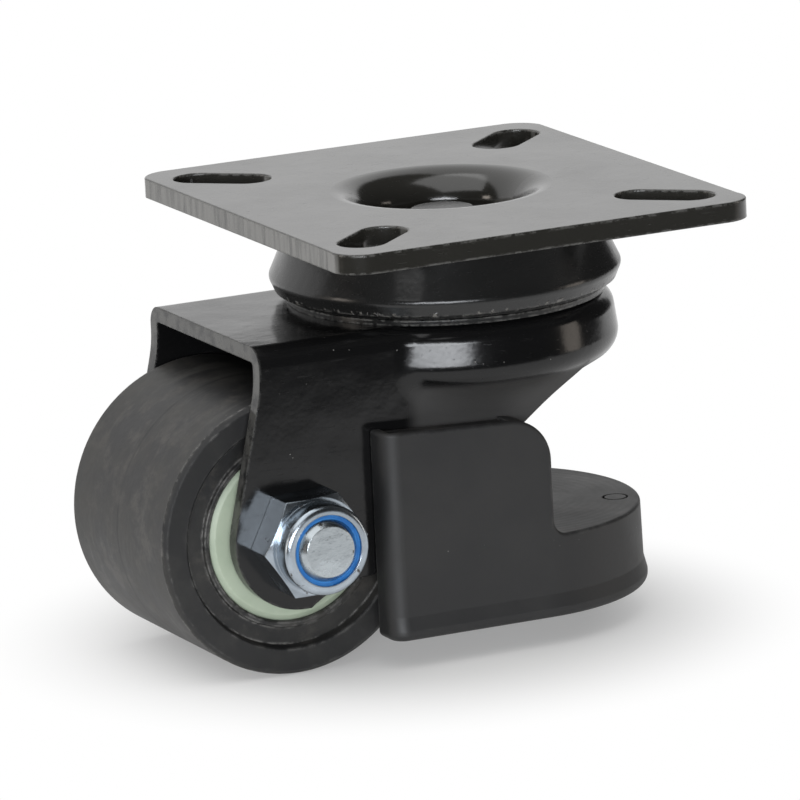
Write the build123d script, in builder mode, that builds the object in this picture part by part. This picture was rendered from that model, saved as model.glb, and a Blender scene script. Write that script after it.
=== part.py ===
from build123d import *
import math
import os

os.makedirs("parts", exist_ok=True)

# Plate-mounted swivel castor: pressed top plate, double ball swivel, drawn fork,
# single wheel on two ball bearings, and a moulded foot pedal on a cross pin.
# Frame: origin on the swivel axis in the plate's top face, Z up, wheel trails to -X.

# ---- driving sizes, mm ----
plate_x = 101.6
plate_y = 114.3
plate_t = 4.5
plate_corner_r = 7.5
plate_shear = 0.18
plate_edge_r = 0.35
slot_w = 11.0
slot_centres = 12.0
slot_x = 36.3
slot_y = 40.3
slot_angle = 42.0

dish_clear = 0.2
dish_roll_r = 8.0
dish_floor_z = -10.5
dish_floor_r = 1.5
dish_under_r = 4.0
dish_margin = 4.0

pin_r = 7.5
pin_shoulder_r = 10.5
pin_head_z = -4.9
pin_head_r = 7.7
pin_flange_r = 12.5
pin_flange_z = -8.0
pin_tail_r = 12.0
pin_tail_z = -40.0

upper_ball_r = 4.7625
upper_race_r = 32.1
upper_race_z = -19.3
upper_ball_count = 20
cup_bore_r = 5.0
cup_wall_t = 1.935
cup_flare = 6.15
cup_max_z = -18.4
cup_crimp = 1.15
cup_edge_z = -21.6
cup_edge_out = 1.7
cup_lip_w = 1.34
cup_lip_z = -22.6
cup_inner_z = -17.5
cup_round = 0.3

sheet_t = 3.5
fork_top_z = -24.3
wheel_side_gap = 0.75
fork_front_x = -60.6
fork_bend_r = 4.5
fork_knee_z = -33.5
fork_knee_r = 28.0
king_hole_r = 14.0
bell_margin = 1.2
bell_flare = 1.63
bell_max_z = -36.8
bell_low_r = 25.4
bell_low_z = -45.3
bell_top_t = 3.05
bell_side_t = 3.76
bell_floor_t = 1.8
bell_low_t = 3.0

lower_ball_r = 3.175
lower_race_r = 18.0
lower_ball_count = 16
lower_race_t = 3.5
lower_race_out_r = 23.0
groove_d = 1.0

axle_x = -52.2
axle_z = -68.5
axle_r = 7.0
leg_end_r = 16.2
leg_back_r = 26.0
leg_back_x = 20.0
leg_flat = 1.48
leg_back_slope = 0.759

wheel_r = 32.0
wheel_w = 51.0
bearing_r = 20.0
bearing_w = 12.0
bearing_bore_r = 8.5
bearing_sunk = 2.9
bearing_ball_r = 3.37
bearing_ball_count = 8
cover_t = 1.2

hex_af = 22.0
nut_t = 8.45
nut_collar_r = 10.25
nut_collar_t = 5.5
nut_rim_r = 1.3
bolt_out = 1.1
bolt_tip_r = 5.3
bolt_head_t = 8.8

pedal_pin_x = -10.0
pedal_pin_z = -53.0
pedal_pin_r = 4.0
pedal_pin_out = 4.25
pedal_top_z = -46.3
pedal_step_z = -75.0
pedal_foot_z = -91.6
pedal_bottom_z = -93.9
pedal_front_x = -34.5
pedal_wall_x = 7.0
pedal_nose_x = 5.6
pedal_wall_t = 7.1
pedal_top_fall = 0.045
shoe_gap = 2.6
shoe_angle = 30.0
side_gap = 0.35
run_gap = 0.05
seat_gap = 0.01
tiny = 0.05

plate_under_z = -plate_t
dish_under_z = dish_floor_z - plate_t
fork_under_z = fork_top_z - sheet_t
leg_inner_y = wheel_w / 2 + wheel_side_gap
fork_half_y = leg_inner_y + sheet_t
bearing_face_y = wheel_w / 2 - bearing_sunk
nut_y = fork_half_y + nut_t
nut_end_y = nut_y + nut_collar_t
bolt_end_y = nut_end_y + bolt_out
pedal_pin_half = fork_half_y + pedal_pin_out
pedal_half_y = fork_half_y + side_gap + pedal_wall_t
bore_in = math.sqrt(cup_bore_r**2 - (cup_inner_z - upper_race_z) ** 2)
bore_lip = math.sqrt(cup_bore_r**2 - (cup_lip_z - upper_race_z) ** 2)
cup_in_r = upper_race_r - bore_in - cup_wall_t
dish_start_r = cup_in_r - dish_clear
dish_r = dish_start_r - dish_roll_r
dish_outer_r = dish_r + plate_t


# ---- top plate: flat sheet, four diagonal slots, pressed dish in the middle ----
plate_join_r = dish_start_r + dish_margin
with BuildPart() as top_plate:
    with BuildSketch():
        RectangleRounded(plate_x + 2 * plate_shear, plate_y, plate_corner_r)
        Rectangle(plate_x, plate_y, mode=Mode.INTERSECT)
        Circle(plate_join_r, mode=Mode.SUBTRACT)
        for sx in (1, -1):
            for sy in (1, -1):
                with Locations(Location((sx * slot_x, sy * slot_y), sx * sy * slot_angle)):
                    SlotCenterToCenter(slot_centres, slot_w, mode=Mode.SUBTRACT)
    extrude(amount=-plate_t)
    top_face = top_plate.faces().sort_by(Axis.Z)[-1]
    fillet([e for e in top_face.edges() if e.distance_to((0, 0, 0)) > plate_join_r + tiny],
           plate_edge_r)
    with BuildSketch(Plane.XZ):
        with BuildLine():
            Line((plate_join_r, 0), (dish_start_r, 0))
            RadiusArc((dish_start_r, 0), (dish_r, -dish_roll_r), -dish_roll_r)
            Line((dish_r, -dish_roll_r), (dish_r, dish_floor_z + dish_floor_r))
            RadiusArc((dish_r, dish_floor_z + dish_floor_r),
                      (dish_r - dish_floor_r, dish_floor_z), dish_floor_r)
            Line((dish_r - dish_floor_r, dish_floor_z), (pin_r, dish_floor_z))
            Line((pin_r, dish_floor_z), (pin_r, dish_under_z))
            Line((pin_r, dish_under_z), (dish_outer_r - dish_under_r, dish_under_z))
            RadiusArc((dish_outer_r - dish_under_r, dish_under_z),
                      (dish_outer_r, dish_under_z + dish_under_r), -dish_under_r)
            Line((dish_outer_r, dish_under_z + dish_under_r), (dish_outer_r, -dish_roll_r))
            RadiusArc((dish_outer_r, -dish_roll_r), (dish_start_r, plate_under_z),
                      dish_roll_r - plate_t)
            Line((dish_start_r, plate_under_z), (plate_join_r, plate_under_z))
            Line((plate_join_r, plate_under_z), (plate_join_r, 0))
        make_face()
    revolve(axis=Axis.Z)
top_plate.part.label = "top_plate"

# ---- upper race ring: cone under the plate, ball race inside, edge crimped in ----
cup_lip_r = upper_race_r + bore_lip + cup_lip_w
cup_edge_r = cup_lip_r + cup_edge_out
cup_max_r = cup_edge_r + cup_crimp
cup_top_r = cup_max_r - cup_flare
cup_low_z = cup_max_z - 4 * cup_round
with BuildPart() as race_cup:
    with BuildSketch(Plane.XZ):
        with BuildLine():
            Line((cup_in_r, plate_under_z), (cup_top_r, plate_under_z))
            Line((cup_top_r, plate_under_z), (cup_max_r - cup_round, cup_max_z + 3 * cup_round))
            ThreePointArc((cup_max_r - cup_round, cup_max_z + 3 * cup_round),
                          (cup_max_r, cup_max_z), (cup_max_r - cup_round, cup_low_z))
            Line((cup_max_r - cup_round, cup_low_z), (cup_edge_r, cup_edge_z))
            Line((cup_edge_r, cup_edge_z), (cup_lip_r, cup_lip_z))
            Line((cup_lip_r, cup_lip_z), (upper_race_r + bore_lip, cup_lip_z))
            ThreePointArc((upper_race_r + bore_lip, cup_lip_z),
                          (upper_race_r, upper_race_z + cup_bore_r),
                          (upper_race_r - bore_in, cup_inner_z))
            Line((upper_race_r - bore_in, cup_inner_z), (cup_in_r, cup_inner_z))
            Line((cup_in_r, cup_inner_z), (cup_in_r, plate_under_z))
        make_face()
    revolve(axis=Axis.Z)
race_cup.part.label = "race_cup"

# ---- lower swivel stack heights ----
lower_ball_z = fork_under_z - lower_ball_r + groove_d
lower_race_top = lower_ball_z - lower_ball_r + groove_d - seat_gap
lower_race_under = lower_race_top - lower_race_t

# ---- king pin: shouldered rivet closed over the dish floor and the lower race ----
with BuildPart() as kingpin:
    with BuildSketch(Plane.XZ):
        with BuildLine():
            Polyline(
                (0, pin_head_z), (pin_head_r - 0.6, pin_head_z), (pin_head_r, pin_head_z - 0.6),
                (pin_head_r, pin_flange_z + 0.5), (pin_flange_r - 1.2, pin_flange_z),
                (pin_flange_r, pin_flange_z - 1.0), (pin_flange_r, dish_floor_z),
                (pin_r, dish_floor_z), (pin_r, dish_under_z), (pin_shoulder_r, dish_under_z),
                (pin_shoulder_r, lower_race_top), (pin_r, lower_race_top),
                (pin_r, lower_race_under), (pin_tail_r, lower_race_under),
                (pin_tail_r, pin_tail_z + 2.0), (pin_tail_r - 3.0, pin_tail_z),
                (0, pin_tail_z), close=True)
        make_face()
    revolve(axis=Axis.Z)
kingpin.part.label = "kingpin"

# ---- lower race: disc with a ball groove, clamped by the king pin ----
groove_r = lower_ball_r + 0.25
with BuildPart() as lower_race:
    with BuildSketch(Plane.XZ):
        with BuildLine():
            Polyline((pin_r, lower_race_top), (lower_race_out_r, lower_race_top),
                     (lower_race_out_r, lower_race_under), (pin_r, lower_race_under), close=True)
        make_face()
        with Locations((lower_race_r, lower_ball_z)):
            Circle(groove_r, mode=Mode.SUBTRACT)
    revolve(axis=Axis.Z)
lower_race.part.label = "lower_race"

# ---- fork: one sheet, flat top and legs, drawn bell round the swivel ----
crown_lip_z = -23.0
crown_lip_w = 1.8
crown_wall_t = 1.0
crown_foot_t = 2.5
crown_seat_t = 1.5
crown_seat_z = fork_top_z - crown_seat_t
crown_bore_z = upper_race_z - upper_ball_r + cup_bore_r - seat_gap
crown_half = math.sqrt(cup_bore_r**2 - (crown_lip_z - crown_bore_z) ** 2)
crown_in_r = upper_race_r - crown_half - crown_wall_t
crown_foot_r = upper_race_r + crown_foot_t
crown_out_r = crown_foot_r + crown_lip_w
bell_top_r = crown_out_r + bell_margin
bell_max_r = bell_top_r + bell_flare
bell_outer = [(0, fork_top_z), (bell_top_r, fork_top_z), (bell_max_r, bell_max_z),
              (bell_low_r, bell_low_z), (0, bell_low_z)]
bell_inner = [(0, fork_under_z), (bell_top_r - bell_top_t, fork_under_z),
              (bell_max_r - bell_side_t, bell_max_z + bell_floor_t),
              (bell_low_r - bell_floor_t, bell_low_z + bell_low_t),
              (bell_low_r - bell_floor_t, axle_z), (0, axle_z)]
bell_outer_r = [5.5, 0.6]
bell_inner_r = [1.0, 2.0, 0.3, 0.3]
slope_len = math.hypot(1, leg_back_slope)
fillet_len = leg_back_r * math.tan(math.atan(leg_back_slope) / 2)
corner_x = axle_x + leg_flat + fillet_len
leg_back_z = axle_z - leg_end_r + (leg_back_x - corner_x) * leg_back_slope
knee = (fork_front_x, fork_knee_z)
knee_dx = axle_x - knee[0]
knee_dz = axle_z - knee[1]
knee_d = math.hypot(knee_dx, knee_dz)
tan_ang = math.atan2(knee_dz, knee_dx) - math.asin(leg_end_r / knee_d)
tan_len = math.sqrt(knee_d**2 - leg_end_r**2)
tan_pt = (knee[0] + tan_len * math.cos(tan_ang), knee[1] + tan_len * math.sin(tan_ang))
arc_mid_ang = math.radians(228)
arc_mid = (axle_x + leg_end_r * math.cos(arc_mid_ang), axle_z + leg_end_r * math.sin(arc_mid_ang))
blend_r = 9.0
block_front = fork_front_x - 2 * leg_end_r
block_back = cup_max_r + leg_end_r
block_low = axle_z - 2 * leg_end_r
bend_in_r = fork_bend_r - sheet_t
channel = [(-leg_inner_y, block_low), (-leg_inner_y, fork_under_z),
           (leg_inner_y, fork_under_z), (leg_inner_y, block_low)]
axle_low = (axle_x, axle_z - leg_end_r)
corner_a = (corner_x - fillet_len, axle_low[1])
corner_b = (corner_x + fillet_len / slope_len,
            axle_low[1] + fillet_len * leg_back_slope / slope_len)

with BuildPart() as fork:
    with BuildSketch(Plane.XZ):
        with BuildLine():
            Polyline((block_front, fork_top_z), (block_back, fork_top_z),
                     (block_back, block_low), (block_front, block_low), close=True)
        make_face()
    extrude(amount=fork_half_y, both=True)
    with BuildSketch(Plane.XZ):
        with BuildLine():
            FilletPolyline(*bell_outer[1:], radius=bell_outer_r)
            Line(bell_outer[0], bell_outer[1])
            Line(bell_outer[-1], bell_outer[0])
        make_face()
    revolve(axis=Axis.Z)
    blend = [e for e in fork.edges()
             if all(abs(abs((e @ t).Y) - fork_half_y) < tiny for t in (0, 0.3, 0.7, 1))
             and e.geom_type != GeomType.LINE]
    fillet(blend, blend_r)
    with BuildSketch(Plane.XZ):
        with BuildLine():
            Line((leg_back_x, fork_top_z), (fork_front_x, fork_top_z))
            FilletPolyline((fork_front_x, fork_top_z), knee, tan_pt, radius=fork_knee_r)
            ThreePointArc(tan_pt, arc_mid, axle_low)
            Line(axle_low, corner_a)
            RadiusArc(corner_a, corner_b, leg_back_r)
            Line(corner_b, (leg_back_x, leg_back_z))
            Line((leg_back_x, leg_back_z), (leg_back_x, fork_top_z))
        make_face()
    extrude(amount=cup_max_r, both=True, mode=Mode.INTERSECT)
    with BuildSketch(Plane.YZ.offset(block_front)):
        with BuildLine():
            FilletPolyline(*channel, radius=bend_in_r)
            Line(channel[-1], channel[0])
        make_face()
    extrude(amount=block_back - block_front, mode=Mode.SUBTRACT)
    with BuildSketch(Plane.XZ):
        with BuildLine():
            FilletPolyline(*bell_outer[1:], radius=bell_outer_r)
            Line(bell_outer[0], bell_outer[1])
            Line(bell_outer[-1], bell_outer[0])
        make_face()
    revolve(axis=Axis.Z)
    top_face = fork.faces().sort_by(Axis.Z)[-1]
    fillet([e for e in top_face.edges() if e.center().X > fork_front_x + tiny], fork_bend_r)
    # inner space: straight channel between the legs, hollow of the bell, seats and holes
    with BuildSketch(Plane.YZ.offset(block_front)):
        with BuildLine():
            FilletPolyline(*channel, radius=bend_in_r)
            Line(channel[-1], channel[0])
        make_face()
    extrude(amount=-block_front, mode=Mode.SUBTRACT)
    with BuildSketch(Plane.XZ):
        with BuildLine():
            FilletPolyline(*bell_inner, radius=bell_inner_r)
            Line(bell_inner[-1], bell_inner[0])
        make_face()
    revolve(axis=Axis.Z, mode=Mode.SUBTRACT)
    with BuildSketch(Plane.XY.offset(fork_top_z)):
        Circle(king_hole_r)
    extrude(amount=-2 * sheet_t, mode=Mode.SUBTRACT)
    with BuildSketch(Plane.XY.offset(fork_top_z)):
        Circle(crown_foot_r)
        Circle(crown_in_r, mode=Mode.SUBTRACT)
    extrude(amount=crown_seat_z - fork_top_z, mode=Mode.SUBTRACT)
    with BuildSketch(Plane.XZ):
        with Locations((lower_race_r, lower_ball_z)):
            Circle(groove_r)
    revolve(axis=Axis.Z, mode=Mode.SUBTRACT)
    with BuildSketch(Plane.XZ):
        with Locations((axle_x, axle_z)):
            Circle(axle_r + seat_gap)
        with Locations((pedal_pin_x, pedal_pin_z)):
            Circle(pedal_pin_r + seat_gap)
    extrude(amount=cup_max_r, both=True, mode=Mode.SUBTRACT)
fork.part.label = "fork"

# ---- crown race: hardened ring sunk in the fork's top, its lip shows under the cup ----
with BuildPart() as crown_race:
    with BuildSketch(Plane.XZ):
        with BuildLine():
            Line((crown_in_r, crown_seat_z), (crown_foot_r, crown_seat_z))
            Line((crown_foot_r, crown_seat_z), (crown_foot_r, fork_top_z))
            Line((crown_foot_r, fork_top_z), (crown_out_r, fork_top_z))
            Line((crown_out_r, fork_top_z), (crown_out_r, crown_lip_z))
            Line((crown_out_r, crown_lip_z), (upper_race_r + crown_half, crown_lip_z))
            ThreePointArc((upper_race_r + crown_half, crown_lip_z),
                          (upper_race_r, crown_bore_z - cup_bore_r),
                          (upper_race_r - crown_half, crown_lip_z))
            Line((upper_race_r - crown_half, crown_lip_z), (crown_in_r, crown_lip_z))
            Line((crown_in_r, crown_lip_z), (crown_in_r, crown_seat_z))
        make_face()
    revolve(axis=Axis.Z)
crown_race.part.label = "crown_race"

# ---- swivel balls: full rings between the races ----
with BuildPart() as upper_balls:
    with Locations((0, 0, upper_race_z)):
        with PolarLocations(upper_race_r, upper_ball_count):
            Sphere(upper_ball_r)
upper_balls.part.label = "upper_balls"

with BuildPart() as lower_balls:
    with Locations((0, 0, lower_ball_z)):
        with PolarLocations(lower_race_r, lower_ball_count):
            Sphere(lower_ball_r)
lower_balls.part.label = "lower_balls"

# ---- axle bolt: hexagon head on the +Y leg, plain shank, chamfered tip at -Y ----
with BuildPart() as axle_bolt:
    with BuildSketch(Plane.XZ.offset(-fork_half_y)):
        with Locations((axle_x, axle_z)):
            RegularPolygon(hex_af / 2, 6, major_radius=False, rotation=3)
    extrude(amount=-bolt_head_t)
    with BuildSketch(Plane.XZ.offset(-fork_half_y - bolt_head_t)):
        with Locations((axle_x, axle_z)):
            Circle(hex_af / 2 + 0.2)
    extrude(amount=bolt_head_t, taper=-30, mode=Mode.INTERSECT)
    with BuildSketch(Plane.XZ.offset(-fork_half_y)):
        with Locations((axle_x, axle_z)):
            Circle(axle_r)
    extrude(amount=fork_half_y + bolt_end_y)
    tip = axle_bolt.faces().sort_by(Axis.Y)[0].edges()
    chamfer(tip, axle_r - bolt_tip_r, 1.2)
axle_bolt.part.label = "axle_bolt"

# ---- lock nut: hexagon, round collar, closed over the nylon insert ----
insert_r = 9.0
insert_lip_r = 8.1
insert_in_y = nut_y + 0.7
insert_out_y = nut_end_y - 1.3
insert_end_y = nut_end_y - 0.6
nut_bore_r = axle_r + seat_gap
with BuildPart() as lock_nut:
    with BuildSketch(Plane.XZ.offset(fork_half_y)):
        with Locations((axle_x, axle_z)):
            RegularPolygon(hex_af / 2, 6, major_radius=False, rotation=3)
    extrude(amount=nut_y - fork_half_y)
    with BuildSketch(Plane.XZ.offset(nut_y)):
        with Locations((axle_x, axle_z)):
            Circle(hex_af / 2 + 0.1)
    extrude(amount=fork_half_y - nut_y, taper=-60, mode=Mode.INTERSECT)
    with BuildSketch(Plane.XZ.offset(nut_y)):
        with Locations((axle_x, axle_z)):
            Circle(nut_collar_r)
    extrude(amount=nut_end_y - nut_y)
    rim = lock_nut.faces().sort_by(Axis.Y)[0].edges()
    fillet(rim, nut_rim_r)
    with BuildSketch(Plane.XZ.offset(fork_half_y)):
        with Locations((axle_x, axle_z)):
            Circle(nut_bore_r)
    extrude(amount=nut_end_y - fork_half_y, mode=Mode.SUBTRACT)
    with BuildSketch(Plane.XZ.offset(insert_in_y)):
        with Locations((axle_x, axle_z)):
            Circle(insert_r)
    extrude(amount=insert_out_y - insert_in_y, mode=Mode.SUBTRACT)
    with BuildSketch(Plane.XZ.offset(insert_out_y)):
        with Locations((axle_x, axle_z)):
            Circle(insert_lip_r)
    extrude(amount=nut_end_y - insert_out_y, mode=Mode.SUBTRACT)
lock_nut.part.label = "lock_nut"

# ---- nylon insert inside the nut ----
with BuildPart() as nut_insert:
    with BuildSketch(Plane.XZ.offset(insert_in_y)):
        with Locations((axle_x, axle_z)):
            Circle(insert_r)
            Circle(nut_bore_r, mode=Mode.SUBTRACT)
    extrude(amount=insert_out_y - insert_in_y)
    with BuildSketch(Plane.XZ.offset(insert_out_y)):
        with Locations((axle_x, axle_z)):
            Circle(insert_lip_r)
            Circle(nut_bore_r, mode=Mode.SUBTRACT)
    extrude(amount=insert_end_y - insert_out_y)
nut_insert.part.label = "nut_insert"

# ---- axle sleeve: tube clamped between the legs, carries both inner rings ----
with BuildPart() as axle_sleeve:
    with BuildSketch(Plane.XZ):
        with Locations((axle_x, axle_z)):
            Circle(bearing_bore_r)
            Circle(axle_r + run_gap, mode=Mode.SUBTRACT)
    extrude(amount=leg_inner_y, both=True)
axle_sleeve.part.label = "axle_sleeve"

# ---- wheel bearings: inner rings, balls, outer rings and covers, one set a side ----
axle = Axis((axle_x, 0, axle_z), (0, 1, 0))
axle_plane = Plane.XY.offset(axle_z)
inner_ring_r = 12.4
outer_ring_r = 16.1
pitch_r = (inner_ring_r + outer_ring_r) / 2
ball_mid_y = bearing_face_y - bearing_w / 2
race_r = bearing_ball_r + 0.12
cover_in_r = bearing_bore_r + 0.6
cover_y = bearing_face_y + cover_t
for side, name in ((-1, "near"), (1, "far")):
    with BuildPart() as bearing_inner:
        with BuildSketch(axle_plane):
            with Locations((axle_x + (bearing_bore_r + inner_ring_r) / 2, side * ball_mid_y)):
                Rectangle(inner_ring_r - bearing_bore_r, bearing_w)
            with Locations((axle_x + pitch_r, side * ball_mid_y)):
                Circle(race_r, mode=Mode.SUBTRACT)
        revolve(axis=axle)
    bearing_inner.part.label = "bearing_inner_" + name
    export_step(bearing_inner.part, "parts/bearing_inner_" + name + ".step")

    with BuildPart() as bearing_outer:
        with BuildSketch(axle_plane):
            with Locations((axle_x + (bearing_r + outer_ring_r) / 2, side * ball_mid_y)):
                Rectangle(bearing_r - outer_ring_r, bearing_w)
            with Locations((axle_x + pitch_r, side * ball_mid_y)):
                Circle(race_r, mode=Mode.SUBTRACT)
        revolve(axis=axle)
    bearing_outer.part.label = "bearing_outer_" + name
    export_step(bearing_outer.part, "parts/bearing_outer_" + name + ".step")

    with BuildPart() as bearing_balls:
        with Locations(Plane((axle_x, side * ball_mid_y, axle_z), x_dir=(1, 0, 0), z_dir=(0, 1, 0))):
            with PolarLocations(pitch_r, bearing_ball_count):
                Sphere(bearing_ball_r)
    bearing_balls.part.label = "bearing_balls_" + name
    export_step(bearing_balls.part, "parts/bearing_balls_" + name + ".step")

    with BuildPart() as bearing_cover:
        with BuildSketch(axle_plane):
            with BuildLine():
                Polyline((axle_x + cover_in_r, side * bearing_face_y),
                         (axle_x + bearing_r, side * bearing_face_y),
                         (axle_x + bearing_r, side * (bearing_face_y + 0.3)),
                         (axle_x + bearing_r - 1.4, side * cover_y),
                         (axle_x + cover_in_r, side * cover_y), close=True)
            make_face()
        revolve(axis=axle)
    bearing_cover.part.label = "bearing_cover_" + name
    export_step(bearing_cover.part, "parts/bearing_cover_" + name + ".step")

# ---- wheel: one moulding, stepped faces, a bearing pocket in each side ----
face_y = wheel_w / 2
edge_c = 1.0
rim_in_r = 26.0
ring_out_r = 25.4
ring_y = face_y - 2.2
lip_out_r = 21.6
lip_y = face_y - 1.4
pocket_y = bearing_face_y - bearing_w
hub_r = 17.0
with BuildPart() as wheel:
    with BuildSketch(axle_plane):
        with BuildLine():
            half = [(hub_r, pocket_y), (bearing_r, pocket_y), (bearing_r, lip_y - 0.4),
                    (bearing_r + 0.4, lip_y), (lip_out_r - 0.3, lip_y), (lip_out_r, ring_y),
                    (ring_out_r, ring_y), (rim_in_r, face_y - 0.3), (rim_in_r + 0.3, face_y),
                    (wheel_r - edge_c, face_y), (wheel_r, face_y - edge_c)]
            upper = [(axle_x + r, y) for r, y in half]
            lower = [(axle_x + r, -y) for r, y in reversed(half)]
            Polyline(*upper, *lower, close=True)
        make_face()
    revolve(axis=axle)
wheel.part.label = "wheel"

# ---- pedal pin: plain cross pin pressed through both legs ----
with BuildPart() as pedal_pin:
    with BuildSketch(Plane.XZ):
        with Locations((pedal_pin_x, pedal_pin_z)):
            Circle(pedal_pin_r)
    extrude(amount=pedal_pin_half, both=True)
    chamfer(pedal_pin.edges().filter_by(GeomType.CIRCLE), 0.5)
pedal_pin.part.label = "pedal_pin"

# ---- foot pedal: one moulding, side walls outside the legs, low round step ----
wall_in_y = fork_half_y + side_gap
mid_gap = 5.25
mid_half_y = leg_inner_y - mid_gap
front_r = 4.0
wall_top_r = 10.0
wall_foot_r = 3.2
foot_r = 1.6
step_edge_r = 0.8
foot_flare = 1.1
mid_top_z = -62.0
slot_low_z = -83.95
skin_t = 3.5
rib_t = 2.5
bay_top_z = -65.0
ledge_in = 1.3
ledge_drop = 0.7
ledge_end = 2.0
mark_x = 34.5
mark_y = -12.7
mark_r = 3.0
mark_w = 0.5
wall_lean = 0.3
reach = 2 * pedal_half_y
top_front_z = pedal_top_z + wall_lean
top_back_x = pedal_wall_x - wall_top_r
top_back_z = top_front_z - pedal_top_fall * (top_back_x - pedal_front_x)
sections = [(pedal_foot_z, pedal_half_y + foot_flare),
            (pedal_foot_z + wall_foot_r, pedal_half_y + wall_lean),
            (pedal_step_z, pedal_half_y), (top_front_z + 1.0, pedal_half_y - wall_lean)]
# shoe face: flat, square to the line from the axle at shoe_angle below level
shoe_c = math.cos(math.radians(shoe_angle))
shoe_s = math.sin(math.radians(shoe_angle))
shoe_d = wheel_r + shoe_gap
skin_d = shoe_d + skin_t
shoe_top = (axle_x + (shoe_d + shoe_s * (top_front_z - axle_z)) / shoe_c, top_front_z)
shoe_low_z = pedal_bottom_z - skin_t
shoe_low = (axle_x + (shoe_d + shoe_s * (shoe_low_z - axle_z)) / shoe_c, shoe_low_z)
bay_top = (axle_x + (skin_d + shoe_s * (bay_top_z - axle_z)) / shoe_c, bay_top_z)
bay_low = (axle_x + (skin_d + shoe_s * (shoe_low_z - axle_z)) / shoe_c, shoe_low_z)
with BuildPart() as brake_pedal:
    for z, half in sections:
        with BuildSketch(Plane.XY.offset(z)):
            with BuildLine():
                Line((pedal_front_x + front_r, -half), (pedal_nose_x, -half))
                ThreePointArc((pedal_nose_x, -half), (pedal_nose_x + half, 0),
                              (pedal_nose_x, half))
                Line((pedal_nose_x, half), (pedal_front_x + front_r, half))
                RadiusArc((pedal_front_x + front_r, half), (pedal_front_x, half - front_r),
                          -front_r)
                Line((pedal_front_x, half - front_r), (pedal_front_x, front_r - half))
                RadiusArc((pedal_front_x, front_r - half), (pedal_front_x + front_r, -half),
                          -front_r)
            make_face()
    loft(ruled=True)
    extrude(brake_pedal.faces().sort_by(Axis.Z)[0], amount=pedal_foot_z - pedal_bottom_z)
    fillet(brake_pedal.faces().sort_by(Axis.Z)[0].edges(), foot_r)
    # space over the step, rounded top corner of the walls, gently falling top
    with BuildSketch(Plane.XZ):
        with BuildLine():
            Line((reach, pedal_step_z), (pedal_wall_x + wall_foot_r, pedal_step_z))
            RadiusArc((pedal_wall_x + wall_foot_r, pedal_step_z),
                      (pedal_wall_x, pedal_step_z + wall_foot_r), wall_foot_r)
            Line((pedal_wall_x, pedal_step_z + wall_foot_r),
                 (pedal_wall_x, top_back_z - wall_top_r))
            RadiusArc((pedal_wall_x, top_back_z - wall_top_r), (top_back_x, top_back_z),
                      -wall_top_r)
            Line((top_back_x, top_back_z), (pedal_front_x, top_front_z))
            Line((pedal_front_x, top_front_z), (pedal_front_x, fork_top_z))
            Line((pedal_front_x, fork_top_z), (reach, fork_top_z))
            Line((reach, fork_top_z), (reach, pedal_step_z))
        make_face()
    extrude(amount=reach, both=True, mode=Mode.SUBTRACT)
    step_edge = [e for e in brake_pedal.edges()
                 if abs(e.center().Z - pedal_step_z) < tiny and e.length > reach * 0.8]
    fillet(step_edge, step_edge_r)
    # slots the fork's legs stand in, and the ledge inside the walls' thin top rim
    rim_y = pedal_half_y - wall_lean - ledge_in
    for side in (-1, 1):
        with BuildSketch(Plane.XZ.offset(side * (mid_half_y + wall_in_y) / 2)):
            with BuildLine():
                Polyline((pedal_wall_x, mid_top_z), (pedal_wall_x, fork_top_z),
                         (pedal_front_x, fork_top_z), (pedal_front_x, slot_low_z), close=True)
            make_face()
        extrude(amount=(wall_in_y - mid_half_y) / 2, both=True, mode=Mode.SUBTRACT)
        with BuildSketch(Plane.XZ.offset(side * (wall_in_y + rim_y) / 2)):
            with BuildLine():
                Polyline((pedal_front_x + ledge_end, fork_top_z),
                         (pedal_front_x + ledge_end, top_front_z - ledge_drop),
                         (top_back_x, top_back_z - ledge_drop), (top_back_x, fork_top_z),
                         close=True)
            make_face()
        extrude(amount=(rim_y - wall_in_y) / 2, both=True, mode=Mode.SUBTRACT)
    # room over the middle block, and the flat shoe face behind the tread
    with BuildSketch(Plane.XZ):
        with BuildLine():
            Polyline((pedal_front_x, fork_top_z), (pedal_wall_x, fork_top_z),
                     (pedal_wall_x, mid_top_z), (pedal_front_x, mid_top_z), close=True)
        make_face()
        with BuildLine():
            Polyline((pedal_front_x, top_front_z), shoe_top, shoe_low,
                     (pedal_front_x, shoe_low_z), close=True)
        make_face()
    extrude(amount=wall_in_y, both=True, mode=Mode.SUBTRACT)
    # hollow underside: one bay behind the shoe, two under the step with a rib between
    with BuildSketch(Plane.XZ):
        with BuildLine():
            Polyline(bay_low, bay_top, (pedal_wall_x - skin_t, bay_top_z),
                     (pedal_wall_x - skin_t, shoe_low_z), close=True)
        make_face()
    extrude(amount=mid_half_y - skin_t, both=True, mode=Mode.SUBTRACT)
    with BuildSketch(Plane.XY.offset(shoe_low_z)):
        with Locations((pedal_nose_x, 0)):
            Circle(pedal_half_y - skin_t)
        with Locations((pedal_wall_x + reach / 2, 0)):
            Rectangle(reach, reach, mode=Mode.INTERSECT)
        with Locations((pedal_wall_x + reach / 2, 0)):
            Rectangle(reach, rib_t, mode=Mode.SUBTRACT)
    extrude(amount=pedal_step_z - skin_t - shoe_low_z, mode=Mode.SUBTRACT)
    # blind bores for the cross pin, and the round mark on the step
    with BuildSketch(Plane.XZ):
        with Locations((pedal_pin_x, pedal_pin_z)):
            Circle(pedal_pin_r + run_gap)
    extrude(amount=pedal_pin_half + side_gap, both=True, mode=Mode.SUBTRACT)
    with BuildSketch(Plane.XY.offset(pedal_step_z)):
        with Locations((mark_x, mark_y)):
            Circle(mark_r)
            Circle(mark_r - mark_w, mode=Mode.SUBTRACT)
    extrude(amount=-mark_w, mode=Mode.SUBTRACT)
brake_pedal.part.label = "brake_pedal"

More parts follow.
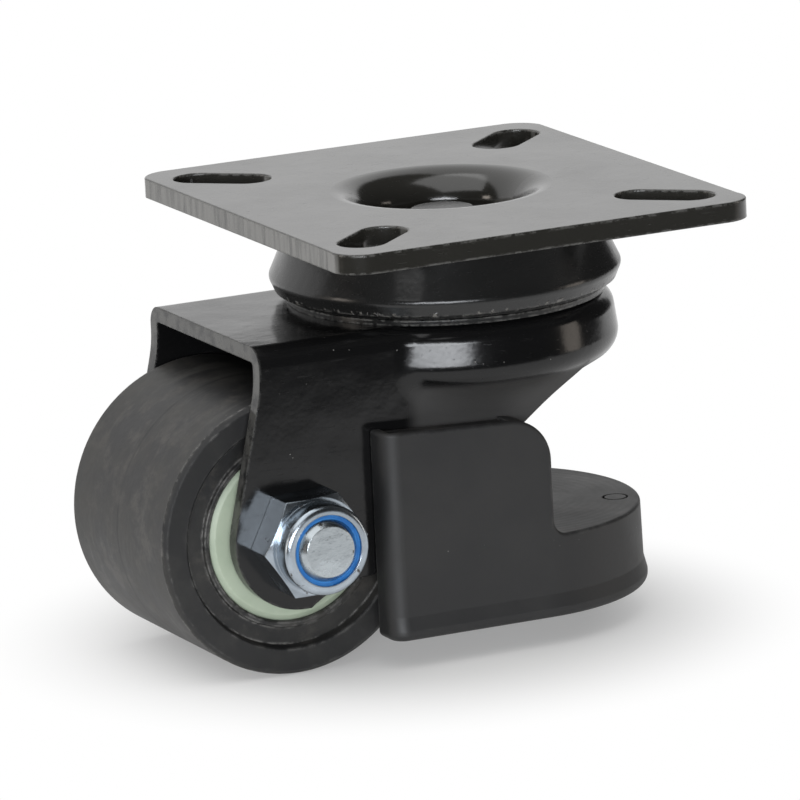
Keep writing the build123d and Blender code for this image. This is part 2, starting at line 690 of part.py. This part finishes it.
for part in (top_plate, race_cup, kingpin, lower_race, fork, crown_race, upper_balls,
             lower_balls, axle_bolt, lock_nut, nut_insert, axle_sleeve, wheel, pedal_pin,
             brake_pedal):
    export_step(part.part, "parts/" + part.part.label + ".step")
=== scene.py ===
import bpy
import math
from mathutils import Matrix, Vector


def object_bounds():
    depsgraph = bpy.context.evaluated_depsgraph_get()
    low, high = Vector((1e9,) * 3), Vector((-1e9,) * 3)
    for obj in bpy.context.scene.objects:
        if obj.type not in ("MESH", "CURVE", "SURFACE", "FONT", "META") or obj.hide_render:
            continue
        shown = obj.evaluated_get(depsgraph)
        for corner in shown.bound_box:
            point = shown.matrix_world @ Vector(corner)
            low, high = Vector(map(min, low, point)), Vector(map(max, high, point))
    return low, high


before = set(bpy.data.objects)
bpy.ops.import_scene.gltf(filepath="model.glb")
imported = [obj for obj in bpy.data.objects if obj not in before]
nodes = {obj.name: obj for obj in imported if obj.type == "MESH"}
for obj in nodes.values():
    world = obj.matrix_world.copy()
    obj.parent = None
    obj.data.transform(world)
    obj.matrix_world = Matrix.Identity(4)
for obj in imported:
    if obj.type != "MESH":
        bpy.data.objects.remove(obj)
cad_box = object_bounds()

X, Y, Z = 0, 1, 2
FLAT = (1, 1, 0)                # keeps X and Y of a vector and leaves Z out
WHITE = (1.0, 1.0, 1.0, 1.0)
scene = bpy.context.scene

# ---------------------------------------------------------------- camera
# fitted to the photograph: lengths in metres from the part's origin, lens and sensor in mm
AZIMUTH = math.radians(-24.94)
ELEVATION = math.radians(12.98)
ROLL = math.radians(-2.71)
DISTANCE = 1.8787
OFF_RIGHT = 0.00930
OFF_UP = 0.04843
LENS = 372.8
SENSOR = 36.0
NEAR_CLIP = 0.05

ca, sa = math.cos(AZIMUTH), math.sin(AZIMUTH)
ce, se = math.cos(ELEVATION), math.sin(ELEVATION)
cr, sr = math.cos(ROLL), math.sin(ROLL)
back = Vector((sa * ce, -ca * ce, se))
level_right = Vector((ca, sa, 0.0))
level_up = back.cross(level_right)
right = level_right * cr + level_up * sr
up = level_up * cr - level_right * sr
place = back * DISTANCE - right * OFF_RIGHT - up * OFF_UP

cam_data = bpy.data.cameras.new("camera")
cam_data.lens = LENS
cam_data.sensor_width = SENSOR
cam_data.clip_start = NEAR_CLIP
cam = bpy.data.objects.new("camera", cam_data)
scene.collection.objects.link(cam)
turn = Matrix((right, up, back)).transposed().to_4x4()
cam.matrix_world = Matrix.Translation(place) @ turn
scene.camera = cam
scene.view_settings.view_transform = "Standard"

# ---------------------------------------------------------------- node helpers
# lengths in metres; a noise or cell scale is in repeats per metre
BEVEL_SAMPLES = 4
EDGE_RADIUS = 0.0009            # the worn band lies within this distance of an edge
EDGE_FLAT, EDGE_SHARP = 0.995, 0.93     # rounded normal against the face's own
SOFT_EDGE = 0.0005              # rounding of the shading at painted and moulded edges
STEEL_EDGE = 0.0004             # the same at turned steel edges
SPECK_CORE = 0.05               # a speck is full within this part of its cell


class Nodes:
    """A small wrapper round one node tree."""

    def __init__(self, tree):
        self.tree = tree

    def add(self, kind, **props):
        node = self.tree.nodes.new(kind)
        for key, value in props.items():
            setattr(node, key, value)
        return node

    def link(self, a, b):
        self.tree.links.new(a, b)

    def feed(self, socket, value):
        """Put another node's output, or a plain value, into a socket."""
        if hasattr(value, "links"):
            self.link(value, socket)
        else:
            socket.default_value = value

    def math(self, op, a, b=None):
        node = self.add("ShaderNodeMath", operation=op)
        self.feed(node.inputs[0], a)
        if b is not None:
            self.feed(node.inputs[1], b)
        return node.outputs[0]

    def times(self, a, b):
        return self.math("MULTIPLY", a, b)

    def plus(self, a, b):
        return self.math("ADD", a, b)

    def span(self, value, start, end, lo=0.0, hi=1.0, smooth=True):
        """Map start..end onto lo..hi and hold the value beyond them."""
        node = self.add("ShaderNodeMapRange")
        node.interpolation_type = "SMOOTHSTEP" if smooth else "LINEAR"
        self.link(value, node.inputs["Value"])
        for key, val in (("From Min", start), ("From Max", end), ("To Min", lo), ("To Max", hi)):
            node.inputs[key].default_value = val
        return node.outputs["Result"]

    def studio_rays(self):
        """The camera ray flag, and 1 for the rays that see the white studio."""
        paths = self.add("ShaderNodeLightPath").outputs
        camera = paths["Is Camera Ray"]
        seen = self.math("MAXIMUM", camera, paths["Is Glossy Ray"])
        return camera, self.math("MAXIMUM", seen, paths["Is Transmission Ray"])

    def blend(self, factor, first, second, output):
        """Mix two shaders and hand the result to the tree's output node."""
        node = self.add("ShaderNodeMixShader")
        self.link(factor, node.inputs[0])
        self.link(first.outputs[0], node.inputs[1])
        self.link(second.outputs[0], node.inputs[2])
        self.link(node.outputs[0], self.tree.nodes[output].inputs["Surface"])


class Mat(Nodes):
    """A material with its Principled shader, read in the object's own coordinates."""

    def __init__(self, name):
        self.mat = bpy.data.materials.new(name)
        self.mat.use_nodes = True
        super().__init__(self.mat.node_tree)
        self.bsdf = self.tree.nodes["Principled BSDF"]
        source = self.add("ShaderNodeTexCoord")
        self.coord = source.outputs["Object"]
        self.normal_of_face = source.outputs["Normal"]

    def put(self, name, value):
        self.feed(self.bsdf.inputs[name], value)

    def noise(self, scale, detail=3.0, rough=0.55, stretch=None, distort=0.0):
        node = self.add("ShaderNodeTexNoise")
        node.inputs["Scale"].default_value = scale
        node.inputs["Detail"].default_value = detail
        node.inputs["Roughness"].default_value = rough
        node.inputs["Distortion"].default_value = distort
        vector = self.coord
        if stretch:
            mapping = self.add("ShaderNodeMapping")
            mapping.inputs["Scale"].default_value = stretch
            self.link(self.coord, mapping.inputs["Vector"])
            vector = mapping.outputs[0]
        self.link(vector, node.inputs["Vector"])
        return node.outputs["Fac"]

    def patches(self, scale, detail, start, end, lo=0.0, hi=1.0, **shape):
        """Noise turned into patches: lo up to start, hi from end on."""
        return self.span(self.noise(scale, detail, **shape), start, end, lo, hi)

    def cells(self, scale):
        """Distance from the middle of the nearest random cell."""
        node = self.add("ShaderNodeTexVoronoi", feature="F1")
        node.inputs["Scale"].default_value = scale
        self.link(self.coord, node.inputs["Vector"])
        return node.outputs["Distance"]

    def mix(self, factor, a, b):
        node = self.add("ShaderNodeMix", data_type="RGBA")
        self.link(factor, node.inputs["Factor"])
        for i, value in ((6, a), (7, b)):       # the colour sockets A and B
            self.feed(node.inputs[i], (*value, 1.0) if isinstance(value, tuple) else value)
        return node.outputs[2]

    def bump(self, height, strength, distance, after):
        node = self.add("ShaderNodeBump")
        node.inputs["Strength"].default_value = strength
        node.inputs["Distance"].default_value = distance
        self.link(height, node.inputs["Height"])
        self.link(after, node.inputs["Normal"])
        return node.outputs["Normal"]

    def along(self, axis):
        """Position along one of the object's own axes."""
        node = self.add("ShaderNodeSeparateXYZ")
        self.link(self.coord, node.inputs[0])
        return node.outputs[axis]

    def facing(self, axis, start, end):
        """1 where the face's normal, along one of the object's own axes, is past end."""
        node = self.add("ShaderNodeSeparateXYZ")
        self.link(self.normal_of_face, node.inputs[0])
        return self.span(node.outputs[axis], start, end)

    def reach(self, keep, point=(0.0, 0.0, 0.0)):
        """Distance from a point, with each axis kept (1) or left out (0)."""
        shift = self.add("ShaderNodeMapping")
        shift.inputs["Location"].default_value = [-p * k for p, k in zip(point, keep)]
        shift.inputs["Scale"].default_value = keep
        self.link(self.coord, shift.inputs["Vector"])
        node = self.add("ShaderNodeVectorMath", operation="LENGTH")
        self.link(shift.outputs[0], node.inputs[0])
        return node.outputs["Value"]

    def band(self, value, a, b, soft):
        """1 between a and b, fading out over soft."""
        return self.times(self.span(value, a - soft, a), self.span(value, b + soft, b))

    def rounded(self, radius):
        """The surface normal with the part's edges rounded off."""
        node = self.add("ShaderNodeBevel", samples=BEVEL_SAMPLES)
        node.inputs["Radius"].default_value = radius
        return node.outputs[0]

    def edges(self):
        """1 along the part's edges, where the rounded normal leaves the face's own."""
        dot = self.add("ShaderNodeVectorMath", operation="DOT_PRODUCT")
        self.link(self.rounded(EDGE_RADIUS), dot.inputs[0])
        self.link(self.add("ShaderNodeNewGeometry").outputs["Normal"], dot.inputs[1])
        return self.span(dot.outputs["Value"], EDGE_FLAT, EDGE_SHARP)

    def age(self, base, speck, speck_tint, rub, edge_tint):
        """Dust specks and rubbed edges over a colour.

        speck is the scale of the specks, their size and the scale of the patches they
        lie in; rub is the scale of the rubbing and the noise values it starts and ends at.
        """
        speck_scale, speck_size, patch_scale = speck
        rub_scale, rub_start, rub_end = rub
        spots = self.span(self.cells(speck_scale), speck_size, SPECK_CORE)
        self.specks = self.times(spots, self.patches(patch_scale, 2.0, 0.62, 0.68))
        rubbed = self.patches(rub_scale, 3.0, rub_start, rub_end, rough=0.65)
        self.worn = self.times(self.edges(), rubbed)
        self.base = self.mix(self.worn, self.mix(self.specks, base, speck_tint), edge_tint)
        self.put("Base Color", self.base)

    def over(self, mask, colour):
        """Lay a colour over what the material has so far."""
        self.base = self.mix(mask, self.base, colour)
        self.put("Base Color", self.base)


# ---------------------------------------------------------------- kinds of material
CLOUD_SHADE = 0.72              # clouded zinc against bright zinc


def paint(name, tint, rough, wave, dents=0.15, level=0.5, ior=1.5, chip=(0.15, 0.147, 0.138)):
    """Gloss black coating over pressed steel: waves, dents, dust, scratches, worn edges."""
    m = Mat(name)
    m.put("Specular IOR Level", level)
    m.put("IOR", ior)
    m.age(tint, speck=(560.0, 0.10, 160.0), speck_tint=(0.20, 0.195, 0.18),
          rub=(520.0, 0.42, 0.60), edge_tint=chip)

    cloudy = m.span(m.noise(45.0, 4.0), 0.3, 0.7, *rough, smooth=False)
    scratch = m.patches(260.0, 2.0, 0.66, 0.70, rough=0.5, stretch=(1.0, 9.0, 9.0), distort=0.6)
    marked = m.math("MAXIMUM", m.specks, m.worn)
    r = m.plus(cloudy, m.times(m.noise(700.0, 2.0), 0.03))
    r = m.plus(r, m.times(scratch, 0.12))
    m.rough = m.plus(r, m.times(marked, 0.35))
    m.put("Roughness", m.rough)

    n = m.rounded(SOFT_EDGE)
    n = m.bump(m.noise(34.0, 2.0), strength=wave, distance=0.0006, after=n)
    n = m.bump(m.noise(130.0, 3.0, 0.6), strength=dents, distance=0.00025, after=n)
    n = m.bump(m.noise(480.0, 2.0), strength=0.10, distance=0.00006, after=n)
    m.normal = m.bump(m.specks, strength=0.4, distance=0.0001, after=n)
    m.put("Normal", m.normal)
    return m


def steel(name, tint, rough, stain=(0.30, 0.28, 0.25)):
    """Bright zinc or ground steel: fine marks, cloudy plating, a few stains."""
    m = Mat(name)
    m.put("Metallic", 1.0)
    fine = m.noise(900.0, 3.0, 0.6)
    cloud = m.noise(120.0, 3.0)
    dark = tuple(c * CLOUD_SHADE for c in tint)
    spots = m.times(m.patches(420.0, 4.0, 0.60, 0.68, rough=0.7),
                    m.patches(90.0, 2.0, 0.50, 0.60))
    m.put("Base Color", m.mix(spots, m.mix(m.span(cloud, 0.35, 0.7), dark, tint), stain))

    cloudy = m.span(cloud, 0.3, 0.7, rough - 0.05, rough + 0.08, smooth=False)
    r = m.plus(cloudy, m.times(fine, 0.08))
    m.put("Roughness", m.plus(r, m.times(spots, 0.25)))

    n = m.rounded(STEEL_EDGE)
    n = m.bump(m.noise(300.0, 2.0), strength=0.12, distance=0.00012, after=n)
    m.put("Normal", m.bump(fine, strength=0.15, distance=0.00005, after=n))
    return m


def plastic(name, low, high, rough, grain, scale, depth=0.00005, patch=60.0,
            edge=(0.10, 0.098, 0.095)):
    """Moulded plastic: fine grain, soft mottling, scuffed edges and a little dust."""
    m = Mat(name)
    cloud = m.noise(patch, 5.0, 0.6)
    m.age(m.mix(m.span(cloud, 0.35, 0.7), low, high),
          speck=(520.0, 0.09, 140.0), speck_tint=(0.24, 0.23, 0.22),
          rub=(340.0, 0.40, 0.62), edge_tint=edge)

    cloudy = m.span(cloud, 0.3, 0.7, rough - 0.06, rough + 0.06, smooth=False)
    m.put("Roughness", m.plus(cloudy, m.times(m.noise(scale, 2.0), 0.06)))

    n = m.rounded(SOFT_EDGE)
    n = m.bump(m.noise(scale, 3.0), strength=grain, distance=depth, after=n)
    m.normal = m.bump(m.noise(patch, 3.0), strength=0.15, distance=0.0003, after=n)
    m.put("Normal", m.normal)
    return m


# ---------------------------------------------------------------- coated sheet steel
plate_coat = paint("plate_coat", tint=(0.020, 0.0192, 0.0165), rough=(0.10, 0.20),
                   wave=0.16, dents=0.10, ior=1.66)
ring_coat = paint("ring_coat", tint=(0.011, 0.011, 0.0108), rough=(0.16, 0.32),
                  wave=0.40, dents=0.60)
fork_coat = paint("fork_coat", tint=(0.0050, 0.0050, 0.0052), rough=(0.10, 0.20),
                  wave=0.50, dents=0.28, level=0.38, chip=(0.06, 0.059, 0.055))
pin_coat = paint("pin_coat", tint=(0.012, 0.012, 0.012), rough=(0.12, 0.25), wave=0.25)

# the plate's sheared side that faces -X shows vertical tear marks, its own texture; their
# lighter colour, laid on this side only, is painted light where the left lamp falls
tears = plate_coat.patches(420.0, 3.0, 0.25, 0.60, rough=0.6, stretch=(1.0, 1.0, 0.12))
lit_sheared_side = plate_coat.times(plate_coat.facing(X, -0.90, -0.97), tears)
plate_coat.over(lit_sheared_side, colour=(0.13, 0.127, 0.118))

# pressed lip of the ring: nicks and rubbed spots along its lower edge
LIP_LOW, LIP_HIGH, LIP_FADE = -0.0219, -0.0210, 0.0004
lip = ring_coat.band(ring_coat.along(Z), LIP_LOW, LIP_HIGH, LIP_FADE)
nicks = ring_coat.times(lip, ring_coat.patches(620.0, 3.0, 0.56, 0.66, rough=0.7,
                                               stretch=(1.0, 1.0, 0.35)))
ring_coat.over(nicks, colour=(0.12, 0.115, 0.105))
ring_coat.put("Normal", ring_coat.bump(nicks, strength=0.8, distance=0.0003,
                                       after=ring_coat.normal))

# drawn shoulder of the fork under the bell: stretched coat, rougher than the rest, and given a
# lighter colour that is a painted reflection of the lit floor below
SHOULDER_IN, SHOULDER_OUT = 0.025, 0.0365       # from the swivel's axis
SHOULDER_LOW, SHOULDER_HIGH = -0.050, -0.0395
SHOULDER_FADE = 0.003
SHOULDER_DULL = 0.40
shoulder_dull_and_sheen = fork_coat.times(
    fork_coat.band(fork_coat.reach(FLAT), SHOULDER_IN, SHOULDER_OUT, SHOULDER_FADE),
    fork_coat.band(fork_coat.along(Z), SHOULDER_LOW, SHOULDER_HIGH, SHOULDER_FADE))
fork_coat.put("Roughness", fork_coat.plus(fork_coat.rough,
                                          fork_coat.times(shoulder_dull_and_sheen, SHOULDER_DULL)))
# painted reflection: this lighter colour stands in for the floor's light seen in the shoulder
fork_coat.over(shoulder_dull_and_sheen, colour=(0.042, 0.041, 0.040))

# the fork's cut edges that face -X get a lighter patchy colour: a painted reflection of the
# bright surroundings on the edges that face that way
edge_reflection = fork_coat.times(fork_coat.facing(X, -0.75, -0.95),
                       fork_coat.patches(300.0, 3.0, 0.30, 0.60, rough=0.6))
fork_coat.over(edge_reflection, colour=(0.055, 0.054, 0.05))

# ---------------------------------------------------------------- bright steel
zinc = steel("zinc_steel", tint=(0.47, 0.53, 0.59), rough=0.17, stain=(0.10, 0.09, 0.08))
ground = steel("ground_steel", tint=(0.60, 0.60, 0.60), rough=0.22)
bolt = steel("bolt_steel", tint=(0.56, 0.61, 0.64), rough=0.20, stain=(0.06, 0.055, 0.05))

# the bolt's threaded end, which faces -Y, is rough where it was cut
cut_end = bolt.times(bolt.facing(Y, -0.80, -0.95), bolt.noise(260.0, 4.0, rough=0.65))
bolt.put("Normal", bolt.bump(cut_end, strength=0.30, distance=0.0005,
                             after=bolt.rounded(STEEL_EDGE)))

# ---------------------------------------------------------------- plastics
nylon = plastic("blue_nylon", low=(0.006, 0.11, 0.36), high=(0.010, 0.16, 0.48),
                rough=0.36, grain=0.2, scale=1500.0, edge=(0.05, 0.25, 0.60))
cover = plastic("cover_plastic", low=(0.33, 0.395, 0.295), high=(0.41, 0.475, 0.365),
                rough=0.40, grain=0.15, scale=1200.0, edge=(0.48, 0.54, 0.43))
tread = plastic("wheel_plastic", low=(0.0065, 0.0065, 0.007), high=(0.027, 0.026, 0.0235),
                rough=0.48, grain=0.35, scale=500.0, depth=0.00012, patch=70.0,
                edge=(0.19, 0.185, 0.175))
mould = plastic("pedal_plastic", low=(0.0125, 0.0125, 0.013), high=(0.0175, 0.0172, 0.017),
                rough=0.52, grain=0.30, scale=1100.0)

# wheel: scuffed running surface, a faint parting line round its middle, and side faces darkened
# in patches as painted shade
RUN_FULL, RUN_HALF, FACE_FULL = 0.0240, 0.0247, 0.0252     # from the wheel's middle plane
SEAM_IN, SEAM_OUT = 0.0003, 0.0006
aside = tread.math("ABSOLUTE", tread.along(Y))
run = tread.span(aside, RUN_HALF, RUN_FULL)
scuff = tread.times(run, tread.patches(110.0, 6.0, 0.46, 0.66, rough=0.75))
tread.over(scuff, colour=(0.038, 0.035, 0.031))
drag = tread.times(run, tread.patches(330.0, 3.0, 0.56, 0.72, rough=0.6,
                                      stretch=(0.12, 1.0, 0.12)))
drag = tread.times(drag, tread.patches(40.0, 2.0, 0.45, 0.60))
tread.over(drag, colour=(0.036, 0.035, 0.032))
seam = tread.times(tread.span(aside, SEAM_OUT, SEAM_IN), tread.patches(60.0, 2.0, 0.30, 0.50))
tread.over(tread.times(seam, run), colour=(0.003, 0.003, 0.003))
# painted shade: the side faces, lit less than the running surface, are darkened in patches
shaded_faces = tread.times(tread.span(aside, RUN_HALF, FACE_FULL),
                    tread.patches(130.0, 4.0, 0.70, 0.40, lo=0.35, hi=0.95, rough=0.6))
tread.over(shaded_faces, colour=(0.0075, 0.0075, 0.008))

# pedal: lighter patches on the faces that look up, and painted shade in the groove of the
# moulded ring on the step
MARK = (0.0345, -0.0127, 0.0)           # middle of the moulded ring
MARK_RADIUS = 0.00275                   # middle of its groove
MARK_HALF, MARK_FADE = 0.0003, 0.0002
STEP_BELOW, STEP_TOP = -0.077, -0.076    # heights: the ring is on the step's top only
upward = mould.facing(Z, 0.90, 0.98)
up_faces_lighter = mould.times(upward, mould.patches(90.0, 4.0, 0.38, 0.62, rough=0.6))
mould.over(up_faces_lighter, colour=(0.040, 0.038, 0.036))
# painted shade: the moulded ring's groove is darkened where shade falls in it
groove_shade = mould.band(mould.reach(FLAT, MARK), MARK_RADIUS - MARK_HALF, MARK_RADIUS + MARK_HALF,
                    MARK_FADE)
groove_shade = mould.times(groove_shade, mould.span(mould.along(Z), STEP_BELOW, STEP_TOP))
mould.over(groove_shade, colour=(0.006, 0.006, 0.006))

# faint rings, as a turned mould leaves them, on the pedal's faces that look up
TURN_MIDDLE = (0.012, 0.0, 0.0)
TURN_WAVES = 3200.0                     # radians per metre: one ring in about 2 mm
rings = mould.math("SINE", mould.times(mould.reach(FLAT, TURN_MIDDLE), TURN_WAVES))
mould.put("Normal", mould.bump(mould.times(rings, upward), strength=0.25, distance=0.00004,
                               after=mould.normal))

# ---------------------------------------------------------------- dressing the pieces
WEARS = (
    (plate_coat, ("top_plate",)),
    (ring_coat, ("race_cup", "crown_race")),
    (fork_coat, ("fork",)),
    (pin_coat, ("kingpin",)),
    (bolt, ("axle_bolt",)),
    (zinc, ("lock_nut", "axle_sleeve", "pedal_pin")),
    (ground, ("lower_race", "upper_balls", "lower_balls",
              "bearing_inner_near", "bearing_inner_far",
              "bearing_outer_near", "bearing_outer_far",
              "bearing_balls_near", "bearing_balls_far")),
    (nylon, ("nut_insert",)),
    (cover, ("bearing_cover_near", "bearing_cover_far")),
    (tread, ("wheel",)),
    (mould, ("brake_pedal",)),
)
for material, names in WEARS:
    for name in names:
        obj = nodes[name]
        for slot in obj.material_slots:
            slot.material = material.mat
        if not obj.material_slots:
            obj.data.materials.append(material.mat)

# ---------------------------------------------------------------- floor
BEHIND = Vector((0.424, 0.906, 0.0))    # away from the camera, level
FLOOR_R = 0.62
FLOOR_BACK = 0.38
FLOOR_DROP = 0.0002
FLOOR_SIDES = 96
floor_z = cad_box[0][2] - FLOOR_DROP
mesh = bpy.data.meshes.new("floor")
centre = BEHIND * FLOOR_BACK
rim = [(centre.x + FLOOR_R * math.cos(a), centre.y + FLOOR_R * math.sin(a), floor_z)
       for a in (2 * math.pi * k / FLOOR_SIDES for k in range(FLOOR_SIDES))]
mesh.from_pydata(rim, [], [tuple(range(FLOOR_SIDES))])
floor = bpy.data.objects.new("floor", mesh)
scene.collection.objects.link(floor)

# white paper on the table: keeps the object's shadow, fades into the white sweep outwards
FADE_IN, FADE_OUT = 0.042, 0.098        # from the middle of the part's box
FADE_LEAST = 0.26
paper = Mat("floor_paper")
paper.put("Base Color", paper.mix(paper.patches(6.0, 3.0, 0.3, 0.7),
                                  (0.86, 0.857, 0.845), (0.88, 0.877, 0.865)))
paper.put("Roughness", 0.9)
paper.put("Specular IOR Level", 0.0)
glow = paper.add("ShaderNodeEmission")
glow.inputs["Color"].default_value = WHITE
glow.inputs["Strength"].default_value = 1.0
middle = ((cad_box[0][0] + cad_box[1][0]) / 2, 0.0, 0.0)
fade = paper.span(paper.reach(FLAT, middle), FADE_IN, FADE_OUT, FADE_LEAST, 1.0)
paper.blend(paper.times(fade, paper.studio_rays()[1]), paper.bsdf, glow, "Material Output")
mesh.materials.append(paper.mat)

# ---------------------------------------------------------------- world
# plain light for the object; white sweep behind it, dim room in front and above
SWEEP_SIDE = Vector((-0.574, 0.819, 0.0))
SWEEP_EDGE = 0.10
ROOM = 0.04
PLAIN_LIGHT = 0.26
world = bpy.data.worlds.new("world")
scene.world = world
world.use_nodes = True
sky = Nodes(world.node_tree)
camera_ray, studio_ray = sky.studio_rays()
direction = sky.add("ShaderNodeTexCoord").outputs["Generated"]
sides = []
for way in (BEHIND, SWEEP_SIDE):
    dot = sky.add("ShaderNodeVectorMath", operation="DOT_PRODUCT")
    sky.link(direction, dot.inputs[0])
    dot.inputs[1].default_value = way
    sides.append(sky.span(dot.outputs["Value"], 0.0, SWEEP_EDGE, ROOM, 1.0))
sweep = sky.math("MAXIMUM", sky.math("MINIMUM", *sides), camera_ray)
plain = sky.tree.nodes["Background"]
plain.inputs["Color"].default_value = WHITE
plain.inputs["Strength"].default_value = PLAIN_LIGHT
white = sky.add("ShaderNodeBackground")
white.inputs["Color"].default_value = WHITE
sky.link(sweep, white.inputs["Strength"])
sky.blend(studio_ray, plain, white, "World Output")

# ---------------------------------------------------------------- lamps
AIM = Vector((0, 0, -0.04))
NEUTRAL, COOL, WARM = (1.0, 1.0, 1.0), (0.93, 0.96, 1.0), (1.0, 0.90, 0.80)


def lamp(name, azimuth, elevation, far, size, power, colour=NEUTRAL, shape="RECTANGLE"):
    """An area lamp aimed at the part; azimuth here is counted from +X towards +Y."""
    data = bpy.data.lights.new(name, "AREA")
    data.shape = shape
    data.size, data.size_y = size
    data.energy = power
    data.color = colour
    obj = bpy.data.objects.new(name, data)
    scene.collection.objects.link(obj)
    az, el = math.radians(azimuth), math.radians(elevation)
    out = Vector((math.cos(az) * math.cos(el), math.sin(az) * math.cos(el), math.sin(el)))
    obj.location = AIM + out * far
    obj.rotation_euler = (-out).to_track_quat("-Z", "Y").to_euler()


lamp("top", azimuth=-150.0, elevation=66.0, far=1.3, size=(1.5, 1.5), power=10.0)
lamp("front", azimuth=-119.0, elevation=7.0, far=2.3, size=(1.8, 0.56), power=37.0,
     colour=COOL, shape="ELLIPSE")
lamp("right", azimuth=-24.0, elevation=4.0, far=1.6, size=(0.45, 0.6), power=1.8, colour=WARM)
lamp("left", azimuth=172.0, elevation=6.0, far=1.6, size=(0.35, 0.7), power=3.0, colour=WARM)
